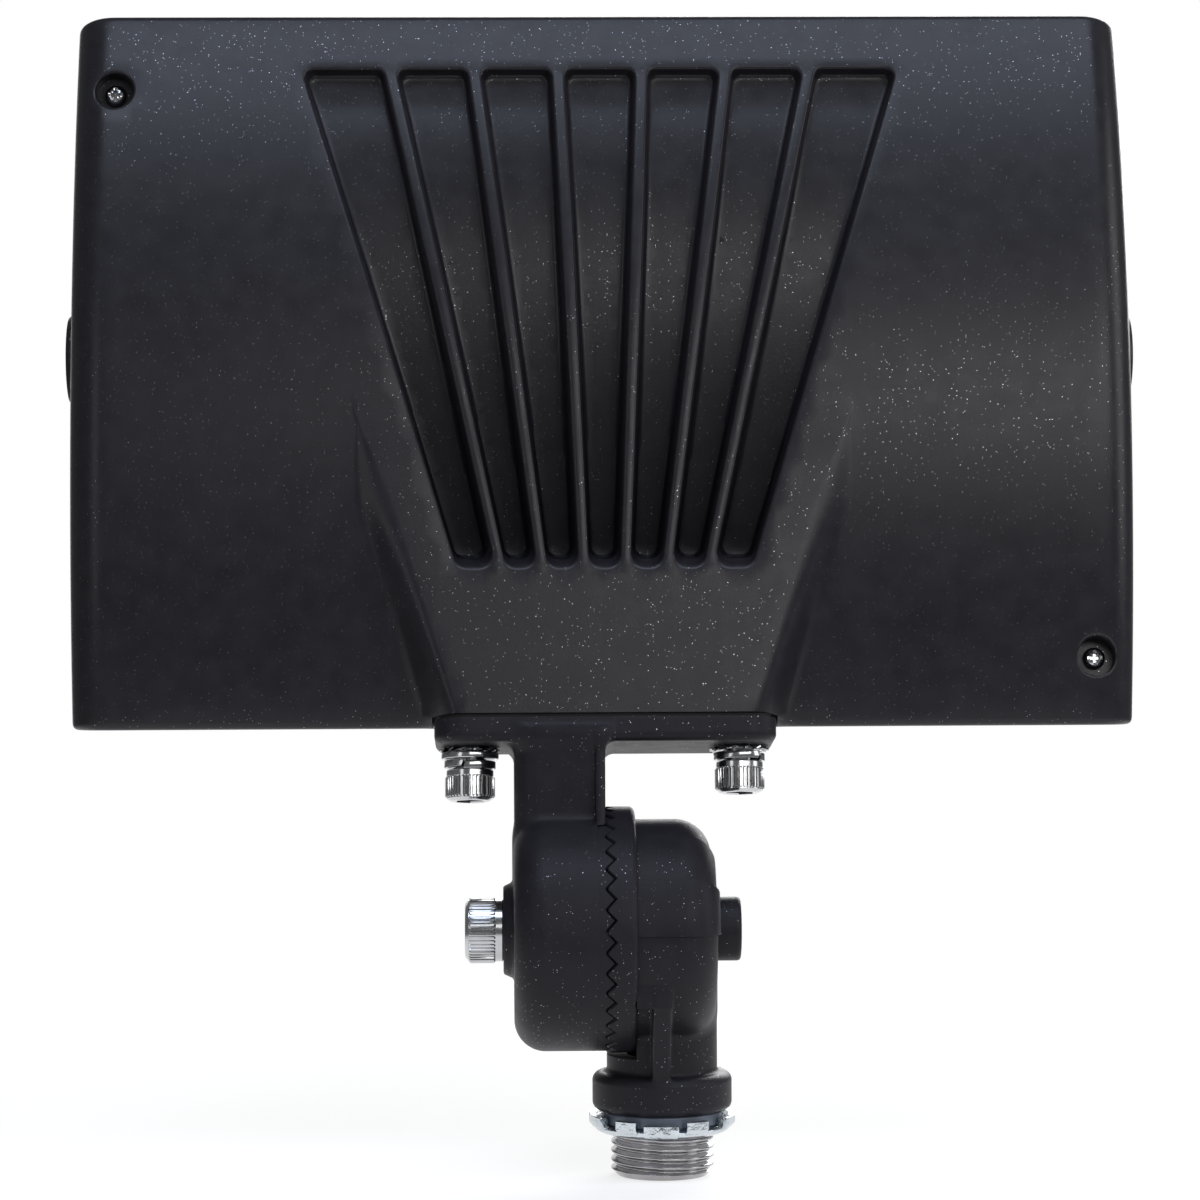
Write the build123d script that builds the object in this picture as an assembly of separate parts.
from build123d import *
import math
import os

# Outdoor LED flood light: a finned rear casting with a framed glass lens, carried by a serrated
# swivel knuckle on a half inch threaded nipple. Millimetres, +Z up, lens towards -Y.
# The origin lies on the nipple's axis, at the middle of its free thread.
# The head is modelled upright about its pivot, and then leaned by the aiming angle.

# Swivel, shared by both halves
AIM_DOWN = 10.0  # the lamp looks this far below level, which is one tooth
TOOTH_COUNT = 36
TOOTH_DEPTH = 1.75
TOOTH_FLAT = 0.12  # share of the pitch that stays flat on a lower tooth's crest
TOOTH_GAP = 0.1
TOOTH_INNER_R = 17.0
CREST_X = 11.4  # crests of the lower half's teeth
SWIVEL_GAP = 0.1
HUB_GAP = 0.2
SWEEP_GAP = 0.35  # between the upper arm's rib and the toothed rim it sweeps past
WALL = 3.2

# Nipple, locknut and gasket
NIPPLE_R = 10.5
THREAD_FIT_R = 10.0  # radius where a threaded pair meets
WIRE_WAY_R = 7.9
NECK_BORE_R = 7.2
FREE_THREAD = 7.6
END_CHAMFER = 1.2
THREAD_ENGAGED = 7.0
LOCKNUT_HEIGHT = 1.9
LOCKNUT_R = 14.9
LOCKNUT_DISH = 1.4
LOCKNUT_MOUTH = 0.6  # chamfer at the thread's mouth
LUG_COUNT = 10
LUG_RISE = 1.5
LUG_WALL = 1.3
LUG_SLOT = 1.8
GASKET_R = 12.4
GASKET_T = 1.8

# Lower arm
PIVOT_RISE = 45.0  # pivot above the middle of the free thread
DISC_R = 25.0
DISC_T = 4.2  # behind the tooth roots
LOWER_DRUM_R = 23.6
LOWER_DRUM_END_X = -11.25
LOWER_DRUM_ROUND = 7.4
BOLT_BOSS_R = 6.5
BOLT_BOSS_OUT = 4.85
BOLT_BOSS_ROUND = 0.8
NECK_R = 11.25
COLLAR_R = 14.2
COLLAR_H = 8.6
COLLAR_ROUND = 1.8
STUB_DROP = 1.1  # the neck's shoulder below the disc
NECK_RIB_W = 3.6
NECK_RIB_X = -0.35
LUG_TOP_Z = -12.8  # the cast ledge, measured from the pivot
LUG_H = 4.2
LUG_W = 6.9
LUG_PROUD = 1.0
HUB_R = 7.5
SEAL_CORD_R = 0.8
SEAL_R = 15.8
MOUTH_R = 14.6

# Upper arm
UPPER_DRUM_R = 24.6
RIM_T = 1.7  # the toothed rim of the upper half
UPPER_DRUM_END_X = 30.05
UPPER_DRUM_ROUND = 6.4
CONE_R = 9.9
CONE_TIP_R = 8.9
CONE_H = 2.15
HEAD_X = 11.3  # middle of the lamp
FLANGE_W = 69.4
FLANGE_T = 4.9
FLANGE_BACK_Y = 15.0
FLANGE_FRONT_Y = -11.5
FLANGE_CORNER_R = 6.0
FLANGE_EDGE_R = 1.4
PILLAR_X0 = 11.65
PILLAR_X1 = 29.9
PILLAR_FRONT_Y = -10.0
PILLAR_BACK_Y = 12.0
PILLAR_EDGE_R = 5.0
PILLAR_RIB_T = 1.75
PILLAR_RIB_END_Z = 19.8
PILLAR_FILLET = 2.6
PILLAR_BORE_R = 5.0
UPPER_RIM_WALL = 5.6
UPPER_FACE_WALL = 1.8

# Fasteners
M8_R = 4.0
M8_HEAD_R = 6.7
M8_HEAD_H = 7.8
M8_SOCKET_AF = 6.0
M6_R = 3.0
M6_HEAD_R = 5.1
M6_HEAD_H = 6.1
M6_SOCKET_AF = 5.0
M6_REACH = 10.0
THREAD_SLACK = 0.05
SHANK_CLEARANCE = 0.08
HOLE_CLEARANCE = 0.3
SCREW_SPACING = 55.1
STAR_T = 0.9
STAR_R = 6.1
STAR_ROOT_R = 4.6
STAR_TEETH = 12
STAR_TOOTH_W = 1.3
SPLIT_T = 1.6
SPLIT_R = 5.3
SPLIT_LEAN = 25.0
PLAIN_T = 1.4
PLAIN_R = 5.9

# Rear housing
HOUSING_W = 218.5
HOUSING_H = 150.6
HOUSING_BASE_Z = 40.9  # above the pivot, before the head is leaned
BACK_R = 252.0
BACK_Y = 15.0
HOUSING_FRONT_Y = -40.0
END_WALL_SLOPE = 8.0  # degrees; top and bottom walls close in towards the lens
SIDE_ROUND = 8.0
EDGE_ROUND = 1.5
SEAT_Z = 42.75
ARM_GASKET_T = 0.8
SEAT_MARGIN = 0.5
FAN_BELOW_PIVOT = 26.7  # the ribs' lines meet here
FAN_RIB_STEP = 0.0852  # rib spacing, per millimetre above that point
FAN_HALF = 0.3015
RIB_TOP_T = 2.9
RIB_LOW_T = 2.2
GROOVE_COUNT = 7
GROOVE_LOW_Z = 72.4
GROOVE_TOP_MARGIN = 12.8
GROOVE_DEPTH = 14.0
GROOVE_CORNER_R = 1.8
FLOOR_WALL = 3.5
BOSS_MARGIN = 10.9
BOSS_SIDE = 4.5
BOSS_END_DROP = 4.2  # the wedge has run out into the arc this far below the arc's middle
POCKET_X = 68.0
SIDE_POCKET_WALL = 3.2
LED_PAD_W = 52.0
LED_PAD_H = 44.0
LED_PAD_Y = -13.0
FRAME_SCREW_IN = 8.45  # from the housing's side
FRAME_SCREW_DOWN = 17.4  # the high screw, from the top
FRAME_SCREW_UP = 13.9  # the low screw, from the base
FRAME_SCREW_R = 1.75
FRAME_SCREW_HEAD_R = 2.5
FRAME_SCREW_HEAD_H = 1.9
RECESS_R = 4.0
RECESS_DEPTH = 5.4
SCREW_TUBE_R = 6.0

# Side plugs
PLUG_Y = -10.0
PLUG_ABOVE_MIDDLE = 4.6
PLUG_R = 9.6
PLUG_PROUD = 3.5
PLUG_CHAMFER = 1.0
PLUG_BODY_R = 7.0
PLUG_BODY_L = 6.0
PLUG_CORD_R = 0.7
PLUG_SOCKET_AF = 8.0
PLUG_SOCKET_DEEP = 1.6

# Lens end
FRAME_T = 5.0
FRAME_GASKET_T = 0.8
FRAME_GASKET_W = 1.8
FRAME_GASKET_EDGE = 0.9
FRAME_SIDE_BAR = 19.25
FRAME_END_BAR = 12.5
WINDOW_R = 5.0
GLASS_LAP = 3.5
GLASS_T = 4.0
GLASS_GASKET_T = 1.0
GLASS_SIDE_GAP = 0.5
LIP_T = 1.8
REFLECTOR_T = 0.8
REFLECTOR_SMALL = 40.0
REFLECTOR_MID_W = 112.0
REFLECTOR_MID_H = 74.0
REFLECTOR_MID_DEPTH = 7.0
REFLECTOR_TAB = 7.0
LIGHT_GAP = 0.3
LED_BOARD_SIZE = 24.0
LED_BOARD_T = 1.6
THERMAL_PAD_T = 0.3
EMITTER_R = 9.5
EMITTER_T = 0.5
HOLDER_SIZE = 36.0
HOLDER_T = 2.4
SMALL_SCREW_R = 1.5
SMALL_HEAD_R = 2.6
SMALL_HEAD_H = 1.6
SMALL_REACH = 6.0

# Driver, in the pocket beside the ribs
DRIVER_SIDE_GAP = 4.0
DRIVER_END_GAP = 27.3
DRIVER_D = 26.0
DRIVER_EAR = 7.0
DRIVER_EAR_T = 2.0
DRIVER_ROUND = 2.0
DRIVER_BACK_Y = 2.0
DRIVER_POST_R = 3.5

# Worked out
RIDGE_ROOT_X = CREST_X + TOOTH_GAP
RIM_BACK_X = CREST_X + RIM_T
UPPER_FACE_X = RIM_BACK_X + SWIVEL_GAP
TOOTH_ROOT_X = CREST_X - TOOTH_DEPTH
DISC_BACK_X = TOOTH_ROOT_X - DISC_T
LOCKNUT_LOW_Z = FREE_THREAD / 2
NIPPLE_END_Z = -FREE_THREAD / 2 - END_CHAMFER
LOCKNUT_TOP_Z = LOCKNUT_LOW_Z + LOCKNUT_HEIGHT
COLLAR_LOW_Z = LOCKNUT_TOP_Z + GASKET_T
COLLAR_TOP_Z = COLLAR_LOW_Z + COLLAR_H
NIPPLE_TOP_Z = COLLAR_LOW_Z + THREAD_ENGAGED
FLANGE_TOP_Z = SEAT_Z - ARM_GASKET_T
FLANGE_LOW_Z = FLANGE_TOP_Z - FLANGE_T
FLANGE_MID_Y = (FLANGE_BACK_Y + FLANGE_FRONT_Y) / 2
HOUSING_MID_Z = HOUSING_BASE_Z + HOUSING_H / 2
ARC_MID_Y = BACK_Y - BACK_R
PILLAR_MID_X = (PILLAR_X0 + PILLAR_X1) / 2
FRAME_BACK_Y = HOUSING_FRONT_Y
FRAME_FRONT_Y = FRAME_BACK_Y - FRAME_T
GLASS_BACK_Y = FRAME_FRONT_Y + LIP_T + GLASS_GASKET_T + GLASS_T
GROOVE_TOP_Z = HOUSING_BASE_Z + HOUSING_H - GROOVE_TOP_MARGIN
BOSS_TOP_Z = HOUSING_MID_Z - BOSS_END_DROP
DRIVER_W = HOUSING_W / 2 - WALL - POCKET_X - 2 * DRIVER_SIDE_GAP
DRIVER_H = HOUSING_H - 2 * DRIVER_END_GAP
DRIVER_X = POCKET_X + DRIVER_SIDE_GAP + DRIVER_W / 2
HOLDER_FRONT_Y = LED_PAD_Y - THERMAL_PAD_T - HOLDER_T
SLOPE = math.tan(math.radians(END_WALL_SLOPE))


def back_y(z, inset=0.0):
    """Depth of the back's arc at a height, or of an arc that runs inside it."""
    rise = z - HOUSING_MID_Z
    return ARC_MID_Y + math.sqrt((BACK_R - inset) ** 2 - rise**2)


def half_height(y, inset=0.0):
    """Half the housing's height at a depth."""
    return HOUSING_H / 2 - (back_y(HOUSING_BASE_Z) - y) * SLOPE - inset


WINDOW_W = HOUSING_W - 2 * FRAME_SIDE_BAR
WINDOW_H = 2 * half_height(FRAME_FRONT_Y) - 2 * FRAME_END_BAR
GLASS_W = WINDOW_W + 2 * GLASS_LAP
GLASS_H = WINDOW_H + 2 * GLASS_LAP


def rod_x(radius, x0, x1, y=0.0, z=0.0):
    return Pos((x0 + x1) / 2, y, z) * Rot(0, 90, 0) * Cylinder(radius, abs(x1 - x0))


def rod_y(radius, y0, y1, x=0.0, z=0.0):
    return Pos(x, (y0 + y1) / 2, z) * Rot(90, 0, 0) * Cylinder(radius, abs(y1 - y0))


def rod_z(radius, z0, z1, x=0.0, y=0.0):
    return Pos(x, y, (z0 + z1) / 2) * Cylinder(radius, abs(z1 - z0))


def block(x0, x1, y0, y1, z0, z1):
    return Pos((x0 + x1) / 2, (y0 + y1) / 2, (z0 + z1) / 2) * Box(
        abs(x1 - x0), abs(y1 - y0), abs(z1 - z0)
    )


def facing_lens(y, x=0.0, z=0.0):
    """A drawing plane at a depth: it has +X to the right, +Z up, and extrudes towards the lens."""
    return Plane(origin=(x, y, z), x_dir=(1, 0, 0), z_dir=(0, -1, 0))


def slab_y(width, height, y0, y1, corner=0.0, x=HEAD_X, z=HOUSING_MID_Z):
    """A flat plate facing the lens, centred on the lamp, with rounded corners."""
    outline = RectangleRounded(width, height, corner) if corner else Rectangle(width, height)
    return extrude(facing_lens(max(y0, y1), x, z) * outline, abs(y1 - y0))


def leaned(part):
    """Places a piece of the head, modelled upright about the pivot, on the leaned head."""
    return Pos(0, 0, PIVOT_RISE) * Rot(AIM_DOWN, 0, 0) * part


def raised(part):
    """Places a piece of the lower half, modelled about the pivot."""
    return Pos(0, 0, PIVOT_RISE) * part


def hexagon(across_flats, height):
    return extrude(RegularPolygon(across_flats / math.sqrt(3), 6), height)


def cap_screw(radius, reach, head_r, head_h, socket_af):
    """A socket cap screw along +Z, with the underside of its head at zero."""
    collar_h = head_h * 0.2
    edge = head_h * 0.1
    section = make_face(
        Polyline(
            (0, reach),
            (radius - edge, reach),
            (radius, reach - edge),
            (radius, 0),
            (head_r * 0.95, 0),
            (head_r * 0.95, -collar_h),
            (head_r, -collar_h),
            (head_r, edge - head_h),
            (head_r - edge, -head_h),
            (0, -head_h),
            (0, reach),
        )
    )
    screw = revolve(Plane.XZ * section, Axis.Z)
    return screw - Pos(0, 0, -head_h) * hexagon(socket_af, head_h * 0.5)


def pan_screw(radius, reach, head_r, head_h):
    """A cross recessed pan head screw along +Z, with the underside of its head at zero."""
    head = Pos(0, 0, -head_h / 2) * Cylinder(head_r, head_h)
    head = fillet(head.edges().group_by(Axis.Z)[0], head_h * 0.45)
    blade = Box(head_r * 1.25, head_r * 0.3, head_h)
    cross = Pos(0, 0, -head_h) * (blade + Rot(0, 0, 90) * blade)
    return head + rod_z(radius, -head_h * 0.1, reach) - cross


def ring_x(cord_r, middle_r, x):
    return Pos(x, 0, 0) * Rot(0, 90, 0) * Torus(middle_r, cord_r)


def face_spline(shift=0.0):
    """V shaped wedges that point to -X, and narrow and flatten towards the pivot's axis."""
    half_angle = math.pi / TOOTH_COUNT * (1 - TOOTH_FLAT)
    ends = []
    for radius in (TOOTH_INNER_R / 2, DISC_R * 1.1):
        half_width = radius * math.tan(half_angle)
        depth = TOOTH_DEPTH * radius / DISC_R
        outline = Polyline((-half_width, 0), (half_width, 0), (0, depth), close=True)
        plane = Plane(origin=(CREST_X + shift, 0, radius), x_dir=(0, 1, 0), z_dir=(0, 0, 1))
        ends.append(plane * make_face(outline))
    wedge = loft(ends, ruled=True)
    pitch = 360 / TOOTH_COUNT
    return [Rot(pitch * index, 0, 0) * wedge for index in range(TOOTH_COUNT)]


def side_profile(x0, x1, points):
    """A plate across the swivel's axis, from an outline of (y, z) points."""
    outline = make_face(Polyline(*points, close=True))
    return Pos(x0, 0, 0) * extrude(Plane.YZ * outline, x1 - x0)


def build_lower_arm():
    neck_low = COLLAR_LOW_Z - PIVOT_RISE
    neck_top = COLLAR_TOP_Z - PIVOT_RISE
    lug_low = LUG_TOP_Z - LUG_H
    disc = rod_x(DISC_R, DISC_BACK_X, CREST_X)
    drum = rod_x(LOWER_DRUM_R, LOWER_DRUM_END_X, DISC_BACK_X + 1)
    drum = fillet(drum.edges().group_by(Axis.X)[0], LOWER_DRUM_ROUND)
    boss_end_x = LOWER_DRUM_END_X - BOLT_BOSS_OUT
    boss = rod_x(BOLT_BOSS_R, boss_end_x, LOWER_DRUM_END_X + WALL)
    boss = fillet(boss.edges().group_by(Axis.X)[0], BOLT_BOSS_ROUND)
    neck = rod_z(NECK_R, neck_low, LUG_TOP_Z)
    neck -= block(DISC_BACK_X, NECK_R + 1, -NECK_R, NECK_R, -DISC_R - STUB_DROP, 0)
    collar = rod_z(COLLAR_R, neck_low, neck_top)
    collar = fillet(collar.edges().filter_by(GeomType.CIRCLE), COLLAR_ROUND)
    rib_x0 = NECK_RIB_X - NECK_RIB_W / 2
    rib_foot_y = COLLAR_R - COLLAR_ROUND / 3
    ledge_y = math.sqrt(LOWER_DRUM_R**2 - LUG_TOP_Z**2)
    lug_y = ledge_y + LUG_PROUD
    lug_points = [(0, LUG_TOP_Z), (ledge_y, LUG_TOP_Z), (lug_y, lug_low), (0, lug_low)]
    rib_points = [(0, LUG_TOP_Z), (ledge_y, LUG_TOP_Z), (lug_y, lug_low)]
    rib_points += [(rib_foot_y, neck_top), (0, neck_top)]
    webs = side_profile(rib_x0, rib_x0 + LUG_W, lug_points)
    webs += side_profile(rib_x0, rib_x0 + NECK_RIB_W, rib_points)
    webs += mirror(webs, Plane.XZ)
    arm = disc + drum + boss + neck + collar + webs
    back_wall_x = LOWER_DRUM_END_X + WALL
    hollow = rod_x(LOWER_DRUM_R - WALL, back_wall_x, DISC_BACK_X)
    hollow = fillet(hollow.edges().group_by(Axis.X)[0], LOWER_DRUM_ROUND - WALL)
    hollow += rod_x(MOUTH_R, DISC_BACK_X - 1, CREST_X + 1)
    hollow += rod_z(NECK_BORE_R, neck_low - 1, -HUB_R - WALL)
    hollow += rod_z(THREAD_FIT_R + THREAD_SLACK, neck_low - 1, NIPPLE_TOP_Z - PIVOT_RISE)
    arm -= hollow
    arm += rod_x(HUB_R, back_wall_x - 1, UPPER_FACE_X - HUB_GAP)
    arm -= rod_x(M8_R + THREAD_SLACK, boss_end_x + WALL, UPPER_FACE_X)
    return raised(arm.cut(*face_spline()))


def build_tooth_rim():
    """The toothed rim that meets the lower half's grooves."""
    ring = rod_x(UPPER_DRUM_R, RIDGE_ROOT_X, RIM_BACK_X)
    zone = rod_x(UPPER_DRUM_R, TOOTH_ROOT_X, RIM_BACK_X)
    bore = rod_x(TOOTH_INNER_R, TOOTH_ROOT_X - 1, RIM_BACK_X + 1)
    ridges = [wedge & zone for wedge in face_spline(TOOTH_GAP)]
    return raised(ring.fuse(*ridges) - bore)


def build_knuckle_seal():
    return raised(ring_x(SEAL_CORD_R, SEAL_R, (CREST_X + UPPER_FACE_X) / 2))


def flange_screw_places():
    return [HEAD_X + SCREW_SPACING / 2, HEAD_X - SCREW_SPACING / 2]


def build_upper_arm():
    flange = Pos(HEAD_X, FLANGE_MID_Y, FLANGE_LOW_Z) * RectangleRounded(
        FLANGE_W, FLANGE_BACK_Y - FLANGE_FRONT_Y, FLANGE_CORNER_R
    )
    flange = extrude(flange, FLANGE_T)
    flange = fillet(flange.edges().group_by(Axis.Z)[0], FLANGE_EDGE_R)
    pillar = block(PILLAR_X0, PILLAR_X1, PILLAR_FRONT_Y, PILLAR_BACK_Y, 0, FLANGE_LOW_Z + 1)
    outer_edges = pillar.edges().filter_by(Axis.Z).group_by(Axis.X)[-1]
    pillar = fillet(outer_edges, PILLAR_EDGE_R)
    post = flange + pillar
    low_z = FLANGE_LOW_Z - PILLAR_FILLET
    for x, out in ((PILLAR_X0, -PILLAR_FILLET), (PILLAR_X1, PILLAR_FILLET)):
        y0 = PILLAR_FRONT_Y + PILLAR_EDGE_R
        y1 = PILLAR_BACK_Y - PILLAR_EDGE_R
        post += block(x, x + out, y0, y1, low_z, FLANGE_LOW_Z)
        post -= rod_y(PILLAR_FILLET, y0 - 1, y1 + 1, x + out, low_z)
    rib = block(
        PILLAR_X0,
        PILLAR_X0 + PILLAR_RIB_T,
        PILLAR_FRONT_Y,
        FLANGE_BACK_Y,
        PILLAR_RIB_END_Z,
        FLANGE_LOW_Z + 1,
    )
    drum = rod_x(UPPER_DRUM_R, UPPER_FACE_X, UPPER_DRUM_END_X)
    drum = fillet(drum.edges().group_by(Axis.X)[-1], UPPER_DRUM_ROUND)
    cone = Rot(0, 90, 0) * Cone(CONE_R, CONE_TIP_R, CONE_H)
    cone = Pos(UPPER_DRUM_END_X + CONE_H / 2, 0, 0) * cone
    arm = post + rib + drum + cone
    arm -= rod_x(UPPER_DRUM_R + SWEEP_GAP, LOWER_DRUM_END_X, UPPER_FACE_X)
    hollow_end = UPPER_DRUM_END_X - WALL
    hollow = rod_x(UPPER_DRUM_R - UPPER_RIM_WALL, UPPER_FACE_X + UPPER_FACE_WALL, hollow_end)
    hollow += rod_x(MOUTH_R, UPPER_FACE_X - 1, hollow_end)
    hollow += rod_z(PILLAR_BORE_R, HUB_R + WALL, FLANGE_TOP_Z + 1, PILLAR_MID_X, 0)
    arm -= hollow
    arm += rod_x(HUB_R, UPPER_FACE_X, hollow_end + 1)
    arm -= rod_x(M8_R + SHANK_CLEARANCE, UPPER_FACE_X - 1, UPPER_DRUM_END_X + CONE_H + 1)
    for x in flange_screw_places():
        arm -= rod_z(M6_R + HOLE_CLEARANCE, FLANGE_LOW_Z - 1, FLANGE_TOP_Z + 1, x, FLANGE_MID_Y)
    return leaned(arm)


def build_arm_gasket():
    outline = Pos(HEAD_X, FLANGE_MID_Y, FLANGE_TOP_Z) * RectangleRounded(
        FLANGE_W - 2, FLANGE_BACK_Y - FLANGE_FRONT_Y - 2, FLANGE_CORNER_R - 1
    )
    gasket = extrude(outline, ARM_GASKET_T)
    gasket -= rod_z(PILLAR_BORE_R, FLANGE_TOP_Z - 1, SEAT_Z + 1, PILLAR_MID_X, 0)
    for x in flange_screw_places():
        gasket -= rod_z(M6_R + HOLE_CLEARANCE, FLANGE_TOP_Z - 1, SEAT_Z + 1, x, FLANGE_MID_Y)
    return leaned(gasket)


def build_joint_bolt():
    seat_x = UPPER_DRUM_END_X + CONE_H
    end_x = LOWER_DRUM_END_X - BOLT_BOSS_OUT + WALL + 1
    bolt = cap_screw(M8_R, seat_x - end_x, M8_HEAD_R, M8_HEAD_H, M8_SOCKET_AF)
    return raised(Pos(seat_x, 0, 0) * Rot(0, -90, 0) * bolt)


def washer_stacks():
    """Where the parts under each flange screw lie: the first screw has a plain washer more."""
    stacks = []
    for x, plain in zip(flange_screw_places(), (PLAIN_T, 0.0)):
        star_z = FLANGE_LOW_Z - STAR_T
        plain_z = star_z - plain
        split_z = plain_z - SPLIT_T
        stacks.append((x, star_z, plain_z, split_z))
    return stacks


def build_flange_screws():
    reach = STAR_T + SPLIT_T + FLANGE_T + ARM_GASKET_T + M6_REACH
    screw = cap_screw(M6_R, reach, M6_HEAD_R, M6_HEAD_H, M6_SOCKET_AF)
    placed = [Pos(x, FLANGE_MID_Y, split_z) * screw for x, _, _, split_z in washer_stacks()]
    return leaned(Compound(placed))


def washer(radius, thickness, x, z):
    hole = M6_R + HOLE_CLEARANCE
    ring = rod_z(radius, z, z + thickness, x, FLANGE_MID_Y)
    return ring - rod_z(hole, z - 1, z + thickness + 1, x, FLANGE_MID_Y)


def build_split_washers():
    rings = []
    for x, _, _, split_z in washer_stacks():
        ring = washer(SPLIT_R, SPLIT_T, x, split_z)
        cut_y = FLANGE_MID_Y + SPLIT_R
        cut = Pos(x, cut_y, split_z + SPLIT_T / 2) * Rot(0, SPLIT_LEAN, 0) * Box(0.7, SPLIT_R, 4)
        rings.append(ring - cut)
    return leaned(Compound(rings))


def build_star_washers():
    rings = []
    for x, star_z, _, _ in washer_stacks():
        ring = washer(STAR_ROOT_R, STAR_T, x, star_z)
        tooth_l = STAR_R - STAR_ROOT_R + 0.5
        tooth = Pos(STAR_R - tooth_l / 2, 0, 0) * Box(tooth_l, STAR_TOOTH_W, STAR_T)
        middle = Pos(x, FLANGE_MID_Y, star_z + STAR_T / 2)
        pitch = 360 / STAR_TEETH
        teeth = [middle * Rot(0, 0, pitch * index) * tooth for index in range(STAR_TEETH)]
        rings.append(ring.fuse(*teeth))
    return leaned(Compound(rings))


def build_plain_washer():
    x, _, plain_z, _ = washer_stacks()[0]
    return leaned(washer(PLAIN_R, PLAIN_T, x, plain_z))


def turned(points):
    """A ring or tube about the nipple's axis, from (radius, z) points."""
    section = make_face(Polyline(*points, close=True))
    return revolve(Plane.XZ * section, Axis.Z)


def build_nipple():
    return turned(
        [
            (NECK_BORE_R, NIPPLE_TOP_Z),
            (THREAD_FIT_R, NIPPLE_TOP_Z),
            (THREAD_FIT_R, LOCKNUT_LOW_Z),
            (NIPPLE_R, LOCKNUT_LOW_Z),
            (NIPPLE_R, NIPPLE_END_Z + END_CHAMFER),
            (NIPPLE_R - END_CHAMFER, NIPPLE_END_Z),
            (WIRE_WAY_R, NIPPLE_END_Z),
            (WIRE_WAY_R, COLLAR_LOW_Z),
            (NECK_BORE_R, COLLAR_LOW_Z),
        ]
    )


def build_locknut():
    """A stamped ring nut, with lugs that stand up from a dished rim."""
    bore_r = THREAD_FIT_R + THREAD_SLACK
    lug_top = LOCKNUT_TOP_Z + LUG_RISE
    inner = LOCKNUT_R - LUG_WALL
    nut = turned(
        [
            (bore_r, LOCKNUT_LOW_Z + LOCKNUT_MOUTH),
            (NIPPLE_R + LOCKNUT_MOUTH, LOCKNUT_LOW_Z),
            (GASKET_R, LOCKNUT_LOW_Z),
            (LOCKNUT_R, LOCKNUT_LOW_Z + LOCKNUT_DISH),
            (LOCKNUT_R, lug_top),
            (inner, lug_top),
            (inner, LOCKNUT_TOP_Z),
            (bore_r, LOCKNUT_TOP_Z),
        ]
    )
    slot = block(inner - 0.6, LOCKNUT_R + 1, -LUG_SLOT / 2, LUG_SLOT / 2, 0, lug_top + 1)
    pitch = 360 / LUG_COUNT
    slots = [Rot(0, 0, 90 + pitch * (index + 0.5)) * slot for index in range(LUG_COUNT)]
    return nut.cut(*slots)


def build_sealing_gasket():
    ring = rod_z(GASKET_R, LOCKNUT_TOP_Z, COLLAR_LOW_Z)
    return ring - rod_z(THREAD_FIT_R + THREAD_SLACK, LOCKNUT_TOP_Z - 1, COLLAR_LOW_Z + 1)


def housing_prism(half_width, wall, arc_inset, front_y):
    """The housing's form: sloping end walls, closed behind by an arc."""
    front = half_height(front_y, wall)
    back = half_height(BACK_Y, wall)
    mid = HOUSING_MID_Z
    points = [(front_y, mid - front), (BACK_Y, mid - back), (BACK_Y, mid + back), (front_y, mid + front)]
    wedge = side_profile(HEAD_X - half_width, HEAD_X + half_width, points)
    return wedge & rod_x(BACK_R - arc_inset, HEAD_X - HOUSING_W, HEAD_X + HOUSING_W, ARC_MID_Y, mid)


def fan_line(share, z):
    """Distance from the lamp's middle, at a height, of a line of the fan of ribs."""
    return share * (z + FAN_BELOW_PIVOT)


def build_groove_cutters():
    """Tapering grooves between the ribs, with a floor that follows the back's arc."""
    first_rib = -FAN_RIB_STEP * (GROOVE_COUNT - 2) / 2
    lines = [-FAN_HALF]
    lines += [first_rib + FAN_RIB_STEP * index for index in range(GROOVE_COUNT - 1)]
    lines += [FAN_HALF]
    floor = rod_x(BACK_R - GROOVE_DEPTH, -HOUSING_W, HOUSING_W, ARC_MID_Y, HOUSING_MID_Z)
    last = GROOVE_COUNT - 1
    cutters = []
    for index in range(GROOVE_COUNT):
        points = []
        for z, rib_t in ((GROOVE_LOW_Z, RIB_LOW_T), (GROOVE_TOP_Z, RIB_TOP_T)):
            left = HEAD_X + fan_line(lines[index], z) + (rib_t / 2 if index > 0 else 0)
            right = HEAD_X + fan_line(lines[index + 1], z) - (rib_t / 2 if index < last else 0)
            points += [(left, z), (right, z)]
        outline = make_face(Polyline(points[0], points[1], points[3], points[2], close=True))
        outline = fillet(outline.vertices(), GROOVE_CORNER_R)
        prism = extrude(facing_lens(BACK_Y + 1) * outline, 2 * GROOVE_DEPTH)
        cutters.append(prism - floor)
    return cutters


def build_boss():
    """The flat faced wedge that grows out of the arc, down to the arm's seat."""
    steps = 6
    sections = []
    for index in range(steps + 1):
        z = SEAT_Z + (BOSS_TOP_Z - SEAT_Z) * index / steps
        crest = fan_line(FAN_HALF, z) + BOSS_MARGIN
        root = crest + BOSS_SIDE
        root_y = back_y(z)
        deep_y = root_y - WALL
        points = [(-root, deep_y), (-root, root_y), (-crest, BACK_Y)]
        points += [(crest, BACK_Y), (root, root_y), (root, deep_y)]
        outline = make_face(Polyline(*points, close=True))
        sections.append(Pos(HEAD_X, 0, z) * outline)
    return loft(sections, ruled=True)


def frame_screw_places():
    out = HOUSING_W / 2 - FRAME_SCREW_IN
    return [
        (HEAD_X + out, HOUSING_BASE_Z + HOUSING_H - FRAME_SCREW_DOWN),
        (HEAD_X - out, HOUSING_BASE_Z + FRAME_SCREW_UP),
    ]


def led_screw_places():
    out = HOLDER_SIZE / 2 - SMALL_HEAD_R
    return [(HEAD_X - out, HOUSING_MID_Z + out), (HEAD_X + out, HOUSING_MID_Z - out)]


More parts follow.
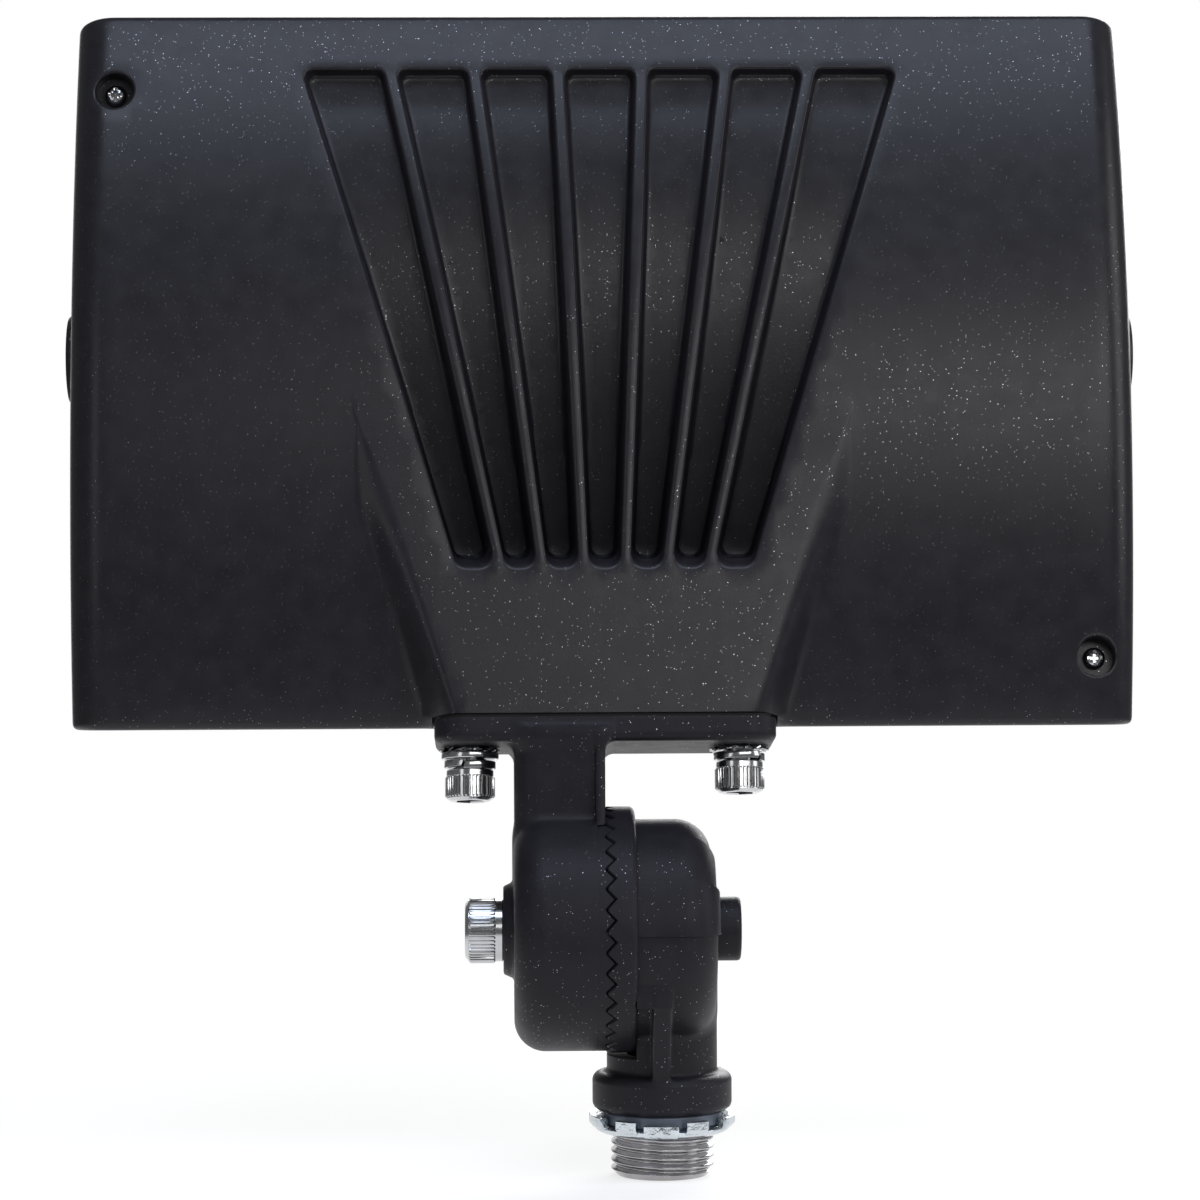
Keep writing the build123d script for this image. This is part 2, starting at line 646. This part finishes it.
def driver_ear_places():
    x = HEAD_X + DRIVER_X
    out = DRIVER_H / 2 + DRIVER_EAR / 2
    return [(x, HOUSING_MID_Z + out), (x, HOUSING_MID_Z - out)]


def build_rear_housing():
    half_width = HOUSING_W / 2
    shell = housing_prism(half_width, 0, 0, HOUSING_FRONT_Y)
    side_edges = shell.edges().filter_by(GeomType.CIRCLE)
    shell = fillet(side_edges, SIDE_ROUND)
    shell += build_boss()
    shell = shell.cut(*build_groove_cutters())
    floor_inset = GROOVE_DEPTH + FLOOR_WALL
    pocket = housing_prism(half_width - WALL, WALL, floor_inset, HOUSING_FRONT_Y - 1)
    side_pocket = housing_prism(half_width - WALL, WALL, SIDE_POCKET_WALL, HOUSING_FRONT_Y - 1)
    high_z = 2 * HOUSING_MID_Z
    pocket += side_pocket - block(HEAD_X - POCKET_X, HEAD_X + POCKET_X, -BACK_R, BACK_R, 0, high_z)
    kept = slab_y(LED_PAD_W, LED_PAD_H, LED_PAD_Y, 0, SIDE_ROUND / 2)
    for x, z in frame_screw_places():
        kept += rod_y(SCREW_TUBE_R, HOUSING_FRONT_Y, BACK_Y, x, z)
    for x, z in driver_ear_places():
        kept += rod_y(DRIVER_POST_R, DRIVER_BACK_Y, BACK_Y, x, z)
    shell -= pocket - kept
    for x, z in frame_screw_places():
        shell -= rod_y(RECESS_R, back_y(z) - RECESS_DEPTH, BACK_Y + 1, x, z)
        shell -= rod_y(FRAME_SCREW_R + HOLE_CLEARANCE, HOUSING_FRONT_Y - 1, BACK_Y, x, z)
    for x, z in driver_ear_places():
        shell -= rod_y(SMALL_SCREW_R + THREAD_SLACK, DRIVER_BACK_Y - 1, DRIVER_BACK_Y + SMALL_REACH, x, z)
    for x, z in led_screw_places():
        shell -= rod_y(SMALL_SCREW_R + THREAD_SLACK, LED_PAD_Y - 1, LED_PAD_Y + SMALL_REACH, x, z)
    seat_half = FLANGE_W / 2 + SEAT_MARGIN
    shell -= block(
        HEAD_X - seat_half, HEAD_X + seat_half, FLANGE_FRONT_Y - SEAT_MARGIN, BACK_Y + 1, 0, SEAT_Z
    )
    for x in flange_screw_places():
        shell -= rod_z(M6_R + THREAD_SLACK, SEAT_Z - 1, SEAT_Z + M6_REACH + 2, x, FLANGE_MID_Y)
    turn_z = SEAT_Z + WALL + PILLAR_BORE_R
    shell -= rod_z(PILLAR_BORE_R, SEAT_Z - 1, turn_z, PILLAR_MID_X, 0)
    shell -= rod_y(PILLAR_BORE_R, LED_PAD_Y - PILLAR_BORE_R, 0, PILLAR_MID_X, turn_z)
    plug_z = HOUSING_MID_Z + PLUG_ABOVE_MIDDLE
    plug_bore = PLUG_BODY_R + THREAD_SLACK
    shell -= rod_x(plug_bore, HEAD_X - half_width - 1, HEAD_X - half_width + 2 * WALL, PLUG_Y, plug_z)
    shell -= rod_x(plug_bore, HEAD_X + half_width + 1, HEAD_X + half_width - 2 * WALL, PLUG_Y, plug_z)
    return leaned(shell)


def build_side_plugs():
    """Blanking plugs in the spare conduit entries, and the cords that seal them."""
    cord_r = PLUG_BODY_R + PLUG_CORD_R + 0.2
    head = Pos(0, 0, PLUG_PROUD / 2) * Cylinder(PLUG_R, PLUG_PROUD)
    head = chamfer(head.edges().group_by(Axis.Z)[-1], PLUG_CHAMFER)
    plug = head + rod_z(PLUG_BODY_R, -PLUG_BODY_L, 1)
    channel = rod_z(cord_r + PLUG_CORD_R + 0.1, -1, 2 * PLUG_CORD_R + THREAD_SLACK)
    plug -= channel - rod_z(PLUG_BODY_R, -2, 2 * PLUG_CORD_R + 1)
    plug -= Pos(0, 0, PLUG_PROUD - PLUG_SOCKET_DEEP) * hexagon(PLUG_SOCKET_AF, PLUG_PROUD)
    cord = Pos(0, 0, PLUG_CORD_R) * Torus(cord_r, PLUG_CORD_R)
    half = HOUSING_W / 2
    plug_z = HOUSING_MID_Z + PLUG_ABOVE_MIDDLE
    right = Pos(HEAD_X + half, PLUG_Y, plug_z) * Rot(0, 90, 0)
    left = Pos(HEAD_X - half, PLUG_Y, plug_z) * Rot(0, -90, 0)
    plugs = leaned(Compound([right * plug, left * plug]))
    cords = leaned(Compound([right * cord, left * cord]))
    return plugs, cords


def build_lens_frame():
    ends = []
    for y in (FRAME_BACK_Y, FRAME_FRONT_Y):
        plane = facing_lens(y, HEAD_X, HOUSING_MID_Z)
        ends.append(plane * RectangleRounded(HOUSING_W, 2 * half_height(y), EDGE_ROUND))
    frame = loft(ends, ruled=True)
    frame -= slab_y(WINDOW_W, WINDOW_H, FRAME_FRONT_Y - 1, FRAME_BACK_Y + 1, WINDOW_R)
    rebate_w = GLASS_W + 2 * GLASS_SIDE_GAP
    rebate_h = GLASS_H + 2 * GLASS_SIDE_GAP
    frame -= slab_y(rebate_w, rebate_h, FRAME_FRONT_Y + LIP_T, FRAME_BACK_Y + 1, WINDOW_R)
    frame -= gasket_band(FRAME_BACK_Y - FRAME_GASKET_T, FRAME_BACK_Y + 1)
    for x, z in frame_screw_places():
        frame -= rod_y(FRAME_SCREW_R + THREAD_SLACK, FRAME_FRONT_Y + LIP_T, FRAME_BACK_Y + 1, x, z)
    for x, z in reflector_screw_places():
        frame += rod_y(DRIVER_POST_R, FRAME_BACK_Y - 1, GLASS_BACK_Y, x, z)
        frame -= rod_y(SMALL_SCREW_R + THREAD_SLACK, FRAME_FRONT_Y + LIP_T, GLASS_BACK_Y + 1, x, z)
    return leaned(frame)


def gasket_band(y0, y1):
    """The ring that the frame's gasket fills, on the housing's rim."""
    width = HOUSING_W - 2 * FRAME_GASKET_EDGE
    height = 2 * half_height(FRAME_BACK_Y) - 2 * FRAME_GASKET_EDGE
    inner_w = width - 2 * FRAME_GASKET_W
    inner_h = height - 2 * FRAME_GASKET_W
    return slab_y(width, height, y0, y1, EDGE_ROUND) - slab_y(inner_w, inner_h, y0 - 1, y1 + 1)


def reflector_screw_places():
    out = GLASS_W / 2 + GLASS_SIDE_GAP + DRIVER_POST_R
    high = GLASS_H / 4
    return [
        (HEAD_X + side * out, HOUSING_MID_Z + up * high) for side in (-1, 1) for up in (-1, 1)
    ]


def build_frame_screws():
    seat_y = [back_y(z) - RECESS_DEPTH for _, z in frame_screw_places()]
    screws = []
    for (x, z), y in zip(frame_screw_places(), seat_y):
        reach = y - FRAME_BACK_Y + FRAME_T - LIP_T - 0.4
        screw = pan_screw(FRAME_SCREW_R, reach, FRAME_SCREW_HEAD_R, FRAME_SCREW_HEAD_H)
        screws.append(Pos(x, y, z) * Rot(90, 0, 0) * screw)
    return leaned(Compound(screws))


def small_screws(places, seat_y, forward=False):
    """Small screws driven from the lens side, or forward into the frame."""
    screw = pan_screw(SMALL_SCREW_R, SMALL_REACH - 0.5, SMALL_HEAD_R, SMALL_HEAD_H)
    turn = Rot(90, 0, 0) if forward else Rot(-90, 0, 0)
    placed = [Pos(x, seat_y, z) * turn * screw for x, z in places]
    return Compound(placed)


def build_reflector():
    """A folded sheet bowl with flat facets, held to the frame by four tabs."""
    mouth_y = HOLDER_FRONT_Y - LIGHT_GAP
    rim_back_y = GLASS_BACK_Y + REFLECTOR_T
    sheet = REFLECTOR_T
    bowls = []
    for inset in (0.0, sheet):
        levels = [
            (mouth_y + inset, REFLECTOR_SMALL, REFLECTOR_SMALL),
            (mouth_y + inset - REFLECTOR_MID_DEPTH, REFLECTOR_MID_W, REFLECTOR_MID_H),
            (rim_back_y - inset, WINDOW_W, WINDOW_H),
        ]
        ends = []
        for y, width, height in levels:
            plane = facing_lens(y, HEAD_X, HOUSING_MID_Z)
            ends.append(plane * Rectangle(width - 2 * inset, height - 2 * inset))
        bowls.append(loft(ends, ruled=True))
    bowl, inside = bowls
    reflector = bowl + slab_y(GLASS_W, GLASS_H, GLASS_BACK_Y, rim_back_y, WINDOW_R)
    tab = REFLECTOR_TAB
    for x, z in reflector_screw_places():
        reach = x + math.copysign(tab / 2, x - HEAD_X)
        reflector += block(HEAD_X, reach, GLASS_BACK_Y, rim_back_y, z - tab / 2, z + tab / 2)
    reflector -= inside
    for x, z in reflector_screw_places():
        reflector -= rod_y(SMALL_SCREW_R + HOLE_CLEARANCE, GLASS_BACK_Y - 1, rim_back_y + 1, x, z)
    return leaned(reflector)


def build_light_source():
    """The emitter's board on its pad, pressed to the housing by a holder."""
    board_back_y = LED_PAD_Y - THERMAL_PAD_T
    board_front_y = board_back_y - LED_BOARD_T
    size = LED_BOARD_SIZE
    holder = slab_y(HOLDER_SIZE, HOLDER_SIZE, HOLDER_FRONT_Y, LED_PAD_Y, EDGE_ROUND)
    holder -= slab_y(size + 2 * LIGHT_GAP, size + 2 * LIGHT_GAP, board_front_y, LED_PAD_Y + 1)
    opening_r = EMITTER_R + 2 * LIGHT_GAP
    holder -= rod_y(opening_r, HOLDER_FRONT_Y - 1, LED_PAD_Y, HEAD_X, HOUSING_MID_Z)
    for x, z in led_screw_places():
        holder -= rod_y(SMALL_SCREW_R + HOLE_CLEARANCE, HOLDER_FRONT_Y - 1, LED_PAD_Y + 1, x, z)
    emitter_y = board_front_y - EMITTER_T
    return {
        "thermal_pad": leaned(slab_y(size, size, board_back_y, LED_PAD_Y)),
        "led_board": leaned(slab_y(size, size, board_front_y, board_back_y)),
        "led_emitter": leaned(rod_y(EMITTER_R, emitter_y, board_front_y, HEAD_X, HOUSING_MID_Z)),
        "led_holder": leaned(holder),
        "led_screws": leaned(small_screws(led_screw_places(), HOLDER_FRONT_Y)),
    }


def build_driver_case():
    middle = Pos(HEAD_X + DRIVER_X, DRIVER_BACK_Y - DRIVER_D / 2, HOUSING_MID_Z)
    case = middle * Box(DRIVER_W, DRIVER_D, DRIVER_H)
    case = fillet(case.edges().filter_by(Axis.Y), DRIVER_ROUND)
    ear_l = DRIVER_H + 2 * DRIVER_EAR
    x = HEAD_X + DRIVER_X
    ears = slab_y(2 * DRIVER_POST_R, ear_l, DRIVER_BACK_Y - DRIVER_EAR_T, DRIVER_BACK_Y, 0, x)
    case += ears
    for x, z in driver_ear_places():
        case -= rod_y(SMALL_SCREW_R + HOLE_CLEARANCE, DRIVER_BACK_Y - DRIVER_D, BACK_Y, x, z)
    return leaned(case)


def build_pieces():
    plugs, cords = build_side_plugs()
    glass_front_y = GLASS_BACK_Y - GLASS_T
    glass = slab_y(GLASS_W, GLASS_H, glass_front_y, GLASS_BACK_Y, WINDOW_R)
    glass_ring = slab_y(GLASS_W, GLASS_H, FRAME_FRONT_Y + LIP_T, glass_front_y, WINDOW_R)
    glass_ring -= slab_y(WINDOW_W, WINDOW_H, FRAME_FRONT_Y, GLASS_BACK_Y, WINDOW_R)
    pieces = {
        "rear_housing": build_rear_housing(),
        "lens_frame": build_lens_frame(),
        "frame_gasket": leaned(gasket_band(FRAME_BACK_Y - FRAME_GASKET_T, FRAME_BACK_Y)),
        "frame_screws": build_frame_screws(),
        "lens_glass": leaned(glass),
        "glass_gasket": leaned(glass_ring),
        "reflector": build_reflector(),
        "reflector_screws": leaned(
            small_screws(reflector_screw_places(), GLASS_BACK_Y + REFLECTOR_T, forward=True)
        ),
        "driver_case": build_driver_case(),
        "driver_screws": leaned(small_screws(driver_ear_places(), DRIVER_BACK_Y - DRIVER_EAR_T)),
        "side_plugs": plugs,
        "plug_seals": cords,
        "arm_gasket": build_arm_gasket(),
        "upper_arm": build_upper_arm(),
        "flange_screws": build_flange_screws(),
        "split_washers": build_split_washers(),
        "star_washers": build_star_washers(),
        "plain_washer": build_plain_washer(),
        "upper_tooth_ring": build_tooth_rim(),
        "knuckle_seal": build_knuckle_seal(),
        "joint_bolt": build_joint_bolt(),
        "lower_arm": build_lower_arm(),
        "threaded_nipple": build_nipple(),
        "sealing_gasket": build_sealing_gasket(),
        "locknut": build_locknut(),
    }
    pieces.update(build_light_source())
    return pieces


os.makedirs("parts", exist_ok=True)
for name, piece in build_pieces().items():
    export_step(piece, f"parts/{name}.step")
